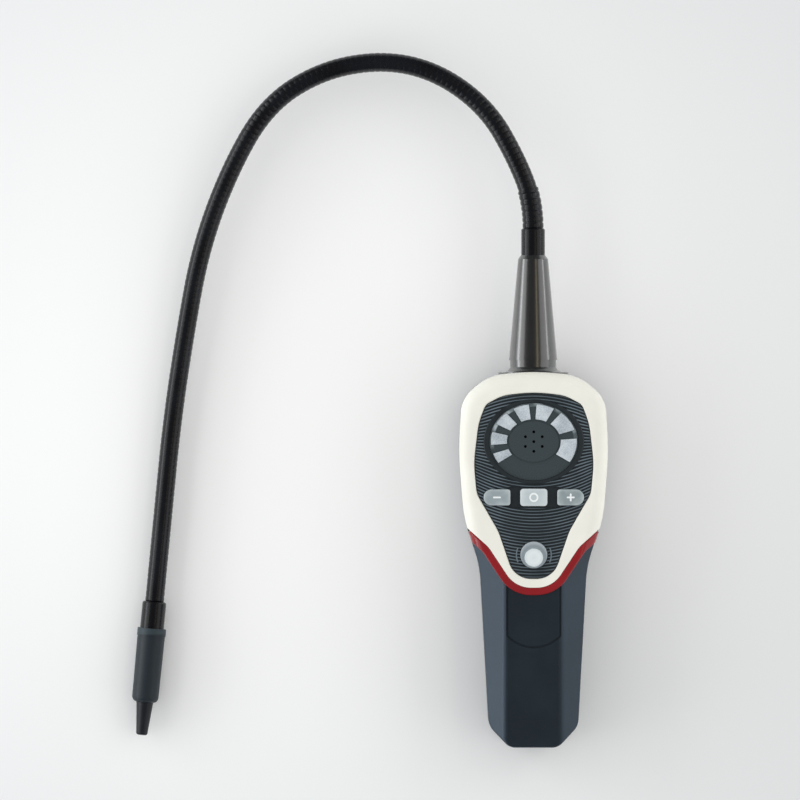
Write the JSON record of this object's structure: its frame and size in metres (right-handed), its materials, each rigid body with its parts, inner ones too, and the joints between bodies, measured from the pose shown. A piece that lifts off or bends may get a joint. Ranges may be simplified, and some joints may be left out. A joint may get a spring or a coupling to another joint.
{
  "type": "hydrogen leak detector",
  "caption": "Handheld hydrogen leak detector lying on its back, with a display, buttons and a bent gooseneck probe that ends in a sensor.",
  "frame": {"origin": "bottom centre of the instrument without its gooseneck and sensor, on the surface it lies on", "axes": "+Z out of the front face, +Y along the body towards the neck, +X to the right seen from the front"},
  "size_m": [0.2169, 0.3163, 0.0469],
  "materials": {
    "cream_shell": "satin",
    "red_band": "gloss",
    "dark_housing": "satin",
    "panel": "matte",
    "display": "gloss",
    "light_guide": "gloss",
    "grey_key": "satin",
    "pale_key": "satin",
    "black_neck": "gloss",
    "black_sleeving": "satin",
    "sensor_housing": "satin",
    "bare_metal": "satin",
    "board": "satin",
    "components": "satin",
    "lamp": "gloss",
    "cell_jacket": "satin"
  },
  "bodies": {
    "housing": {"front_bezel": "cream_shell", "accent_band": "red_band", "grip_front": "dark_housing", "rear_shell": "dark_housing", "housing_screws": "bare_metal", "control_panel": "panel", "display_cover": "display", "light_guide": "light_guide", "neck_collar": "black_neck", "neck_cone": "black_neck", "root_ferrule": "black_sleeving", "main_board": "board", "button_switches": "components", "indicator_lamps": "lamp", "sounder": "components", "board_connector": "components", "probe_lead": "components", "battery_contacts": "bare_metal", "battery_cell_1": "cell_jacket", "battery_cell_2": "cell_jacket", "battery_cell_3": "cell_jacket", "battery_cell_4": "cell_jacket", "gooseneck": "black_sleeving", "probe_ferrule": "black_sleeving", "sensor_sleeve": "sensor_housing", "sensor_element": "bare_metal", "sensor_tip": "sensor_housing"},
    "battery_door": {"battery_door": "dark_housing"},
    "power_button": {"power_button": "pale_key"},
    "reset_button": {"reset_button": "pale_key"},
    "sensitivity_low_button": {"sensitivity_low_button": "grey_key"},
    "sensitivity_high_button": {"sensitivity_high_button": "grey_key"}
  },
  "joints": [
    {"name": "battery_door_slide", "type": "slide", "parent": "housing", "child": "battery_door", "axis": [0, -1, 0], "range_m": [0, 0.072]},
    {"name": "power_press", "type": "slide", "parent": "housing", "child": "power_button", "axis": [0, 0, -1], "range_m": [0, 0.001], "stiffness_N_per_m": 400},
    {"name": "reset_press", "type": "slide", "parent": "housing", "child": "reset_button", "axis": [0, 0, -1], "range_m": [0, 0.001], "stiffness_N_per_m": 400},
    {"name": "sensitivity_low_press", "type": "slide", "parent": "housing", "child": "sensitivity_low_button", "axis": [0, 0, -1], "range_m": [0, 0.001], "stiffness_N_per_m": 400},
    {"name": "sensitivity_high_press", "type": "slide", "parent": "housing", "child": "sensitivity_high_button", "axis": [0, 0, -1], "range_m": [0, 0.001], "stiffness_N_per_m": 400}
  ]
}
